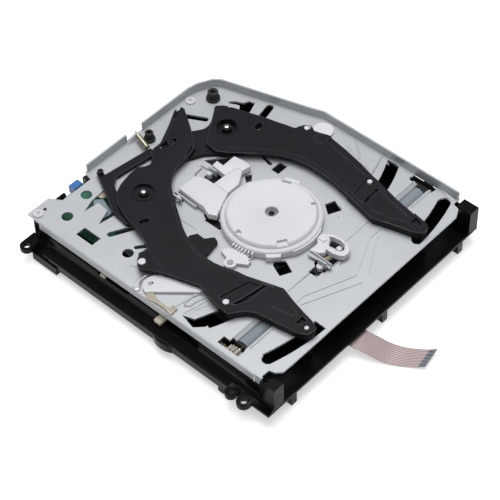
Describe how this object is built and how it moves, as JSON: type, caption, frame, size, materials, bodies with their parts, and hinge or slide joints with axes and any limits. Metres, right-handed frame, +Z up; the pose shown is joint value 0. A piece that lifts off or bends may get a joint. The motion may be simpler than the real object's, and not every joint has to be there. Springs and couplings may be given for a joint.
{
  "type": "slot-loading optical drive",
  "caption": "Slot-loading optical drive mechanism: bent top plate on a moulded frame, with two coupled disc-centring arms, rubber loading roller, clamp and ribbon cable.",
  "frame": {"origin": "centre of the bounding box at the feet's lowest face", "axes": "+Z up through the top plate, -Y out of the disc slot, -X towards the side with the cam slider"},
  "size_m": [0.1596, 0.1963, 0.0285],
  "materials": {
    "sheet_metal": "satin plated steel sheet",
    "frame_plastic": "black moulded plastic, slight sheen",
    "arm_plastic": "charcoal moulded plastic",
    "white_plastic": "white moulded plastic",
    "ivory_plastic": "ivory moulded plastic",
    "steel": "turned steel",
    "screw_steel": "zinc plated",
    "roller_rubber": "pale blue-grey rubber",
    "black_rubber": "black rubber",
    "board": "green solder mask",
    "blue_plastic": "blue connector housing",
    "black_plastic": "black connector housing",
    "lens": "coated lens",
    "ribbon": "polyester film over flat conductors"
  },
  "bodies": {
    "base": {"base_frame": "frame_plastic", "top_plate": "sheet_metal", "left_pivot_post": "arm_plastic", "right_pivot_post": "arm_plastic", "lock_post": "steel", "tension_spring": "steel", "gear_stud": "steel", "loading_motor": "steel", "left_bearing": "black_plastic", "right_bearing": "black_plastic", "sector_post": "steel", "detect_post": "steel", "guide_cap": "white_plastic", "plate_screws": "screw_steel", "rubber_bumpers": "black_rubber", "circuit_board": "board", "blue_connector": "blue_plastic", "black_connector": "black_plastic", "ribbon_socket": "black_plastic", "floor_socket": "black_plastic", "ribbon_cable": "ribbon"},
    "left_arm": {"left_arm": "arm_plastic", "left_feelers": "arm_plastic"},
    "right_arm": {"right_arm": "arm_plastic", "right_feelers": "arm_plastic"},
    "lock_lever": {"lock_lever": "arm_plastic"},
    "roller": {"roller_shaft": "steel", "left_roller": "roller_rubber", "right_roller": "roller_rubber", "roller_gear": "ivory_plastic"},
    "drive_gear": {"drive_gear": "ivory_plastic"},
    "motor_pinion": {"motor_pinion": "ivory_plastic"},
    "clamp_ring": {"clamp_ring": "white_plastic", "clamp_cover": "white_plastic"},
    "sector_lever": {"sector_lever": "white_plastic"},
    "clamp_puck": {"clamp_puck": "white_plastic"},
    "rear_bracket": {"rear_bracket": "white_plastic", "left_hinge_pin": "steel", "right_hinge_pin": "steel"},
    "front_lever": {"front_lever": "white_plastic", "lever_pin": "steel"},
    "deck": {"traverse_deck": "sheet_metal", "spindle_motor": "steel", "guide_rods": "steel", "sled_motor": "steel"},
    "turntable": {"turntable": "black_plastic"},
    "sled": {"pickup_sled": "black_plastic", "pickup_lens": "lens"},
    "lead_screw": {"lead_screw": "steel"},
    "cam_slider": {"cam_slider": "ivory_plastic"},
    "detect_lever": {"detect_lever": "white_plastic", "detect_link": "ivory_plastic"}
  },
  "joints": [
    {"name": "left_arm_swing", "type": "hinge", "parent": "base", "child": "left_arm", "pos_m": [-0.0263, 0.0422, 0.022], "axis": [0, 0, 1], "range_deg": [-11.1, 1.8]},
    {"name": "right_arm_swing", "type": "hinge", "parent": "base", "child": "right_arm", "pos_m": [0.0313, 0.0422, 0.022], "axis": [0, 0, 1], "range_deg": [-1.8, 11.1]},
    {"name": "lock_lever_turn", "type": "hinge", "parent": "base", "child": "lock_lever", "pos_m": [-0.0415, 0.036, 0.0222], "axis": [0, 0, 1], "range_deg": [0, 6], "stiffness_Nm_per_rad": 0.02, "springref_deg": -5.73, "deforming": ["tension_spring"]},
    {"name": "pinion_spin", "type": "hinge", "parent": "base", "child": "motor_pinion", "pos_m": [-0.0645, -0.04901, 0.0046], "axis": [1, 0, 0], "continuous": true},
    {"name": "drive_gear_spin", "type": "hinge", "parent": "base", "child": "drive_gear", "pos_m": [-0.0645, -0.04268, 0.011], "axis": [1, 0, 0], "continuous": true},
    {"name": "roller_spin", "type": "hinge", "parent": "base", "child": "roller", "pos_m": [0.0025, -0.051, 0.0169], "axis": [1, 0, 0], "continuous": true},
    {"name": "clamp_turn", "type": "hinge", "parent": "base", "child": "clamp_ring", "pos_m": [0.0025, -0.013, 0.0223], "axis": [0, 0, 1], "range_deg": [0, 12]},
    {"name": "sector_turn", "type": "hinge", "parent": "base", "child": "sector_lever", "pos_m": [-0.03025, -0.01702, 0.0223], "axis": [0, 0, 1], "range_deg": [-32.1, 0]},
    {"name": "puck_drop", "type": "slide", "parent": "base", "child": "clamp_puck", "axis": [0, 0, -1], "range_m": [0, 0.0008]},
    {"name": "rear_bracket_tilt", "type": "hinge", "parent": "base", "child": "rear_bracket", "pos_m": [0.0025, 0.0281, 0.0242], "axis": [1, 0, 0], "range_deg": [-6, 0], "stiffness_Nm_per_rad": 0.05, "springref_deg": 5.73},
    {"name": "front_lever_tilt", "type": "hinge", "parent": "base", "child": "front_lever", "pos_m": [0.0025, -0.0492, 0.024], "axis": [1, 0, 0], "range_deg": [0, 4], "stiffness_Nm_per_rad": 0.03, "springref_deg": -5.73},
    {"name": "slider_slide", "type": "slide", "parent": "base", "child": "cam_slider", "axis": [0, -1, 0], "range_m": [0, 0.012]},
    {"name": "deck_lift", "type": "hinge", "parent": "base", "child": "deck", "pos_m": [0.0025, 0.058, 0.0042], "axis": [-1, 0, 0], "range_deg": [0, 1.7]},
    {"name": "turntable_spin", "type": "hinge", "parent": "deck", "child": "turntable", "pos_m": [0.0025, -0.013, 0.007], "axis": [0, 0, 1], "continuous": true},
    {"name": "sled_slide", "type": "slide", "parent": "deck", "child": "sled", "axis": [0, 1, 0], "range_m": [0, 0.028]},
    {"name": "lead_screw_spin", "type": "hinge", "parent": "deck", "child": "lead_screw", "pos_m": [0.0295, 0.01, 0.0063], "axis": [0, 1, 0], "range_deg": [-1, 3361]},
    {"name": "detect_lever_turn", "type": "hinge", "parent": "base", "child": "detect_lever", "pos_m": [-0.0631, 0.0018, 0.0222], "axis": [0, 0, 1], "range_deg": [-4, 4]}
  ],
  "couplings": [
    {"joint": "right_arm_swing", "follows": "left_arm_swing", "ratio": -1},
    {"joint": "drive_gear_spin", "follows": "roller_spin", "ratio": -0.7},
    {"joint": "pinion_spin", "follows": "roller_spin", "ratio": 1.4},
    {"joint": "sector_turn", "follows": "clamp_turn", "ratio": -2.6667},
    {"joint": "deck_lift", "follows": "slider_slide", "rad_per_m": 2.4723},
    {"joint": "lead_screw_spin", "follows": "sled_slide", "rad_per_m": 2094.4}
  ]
}
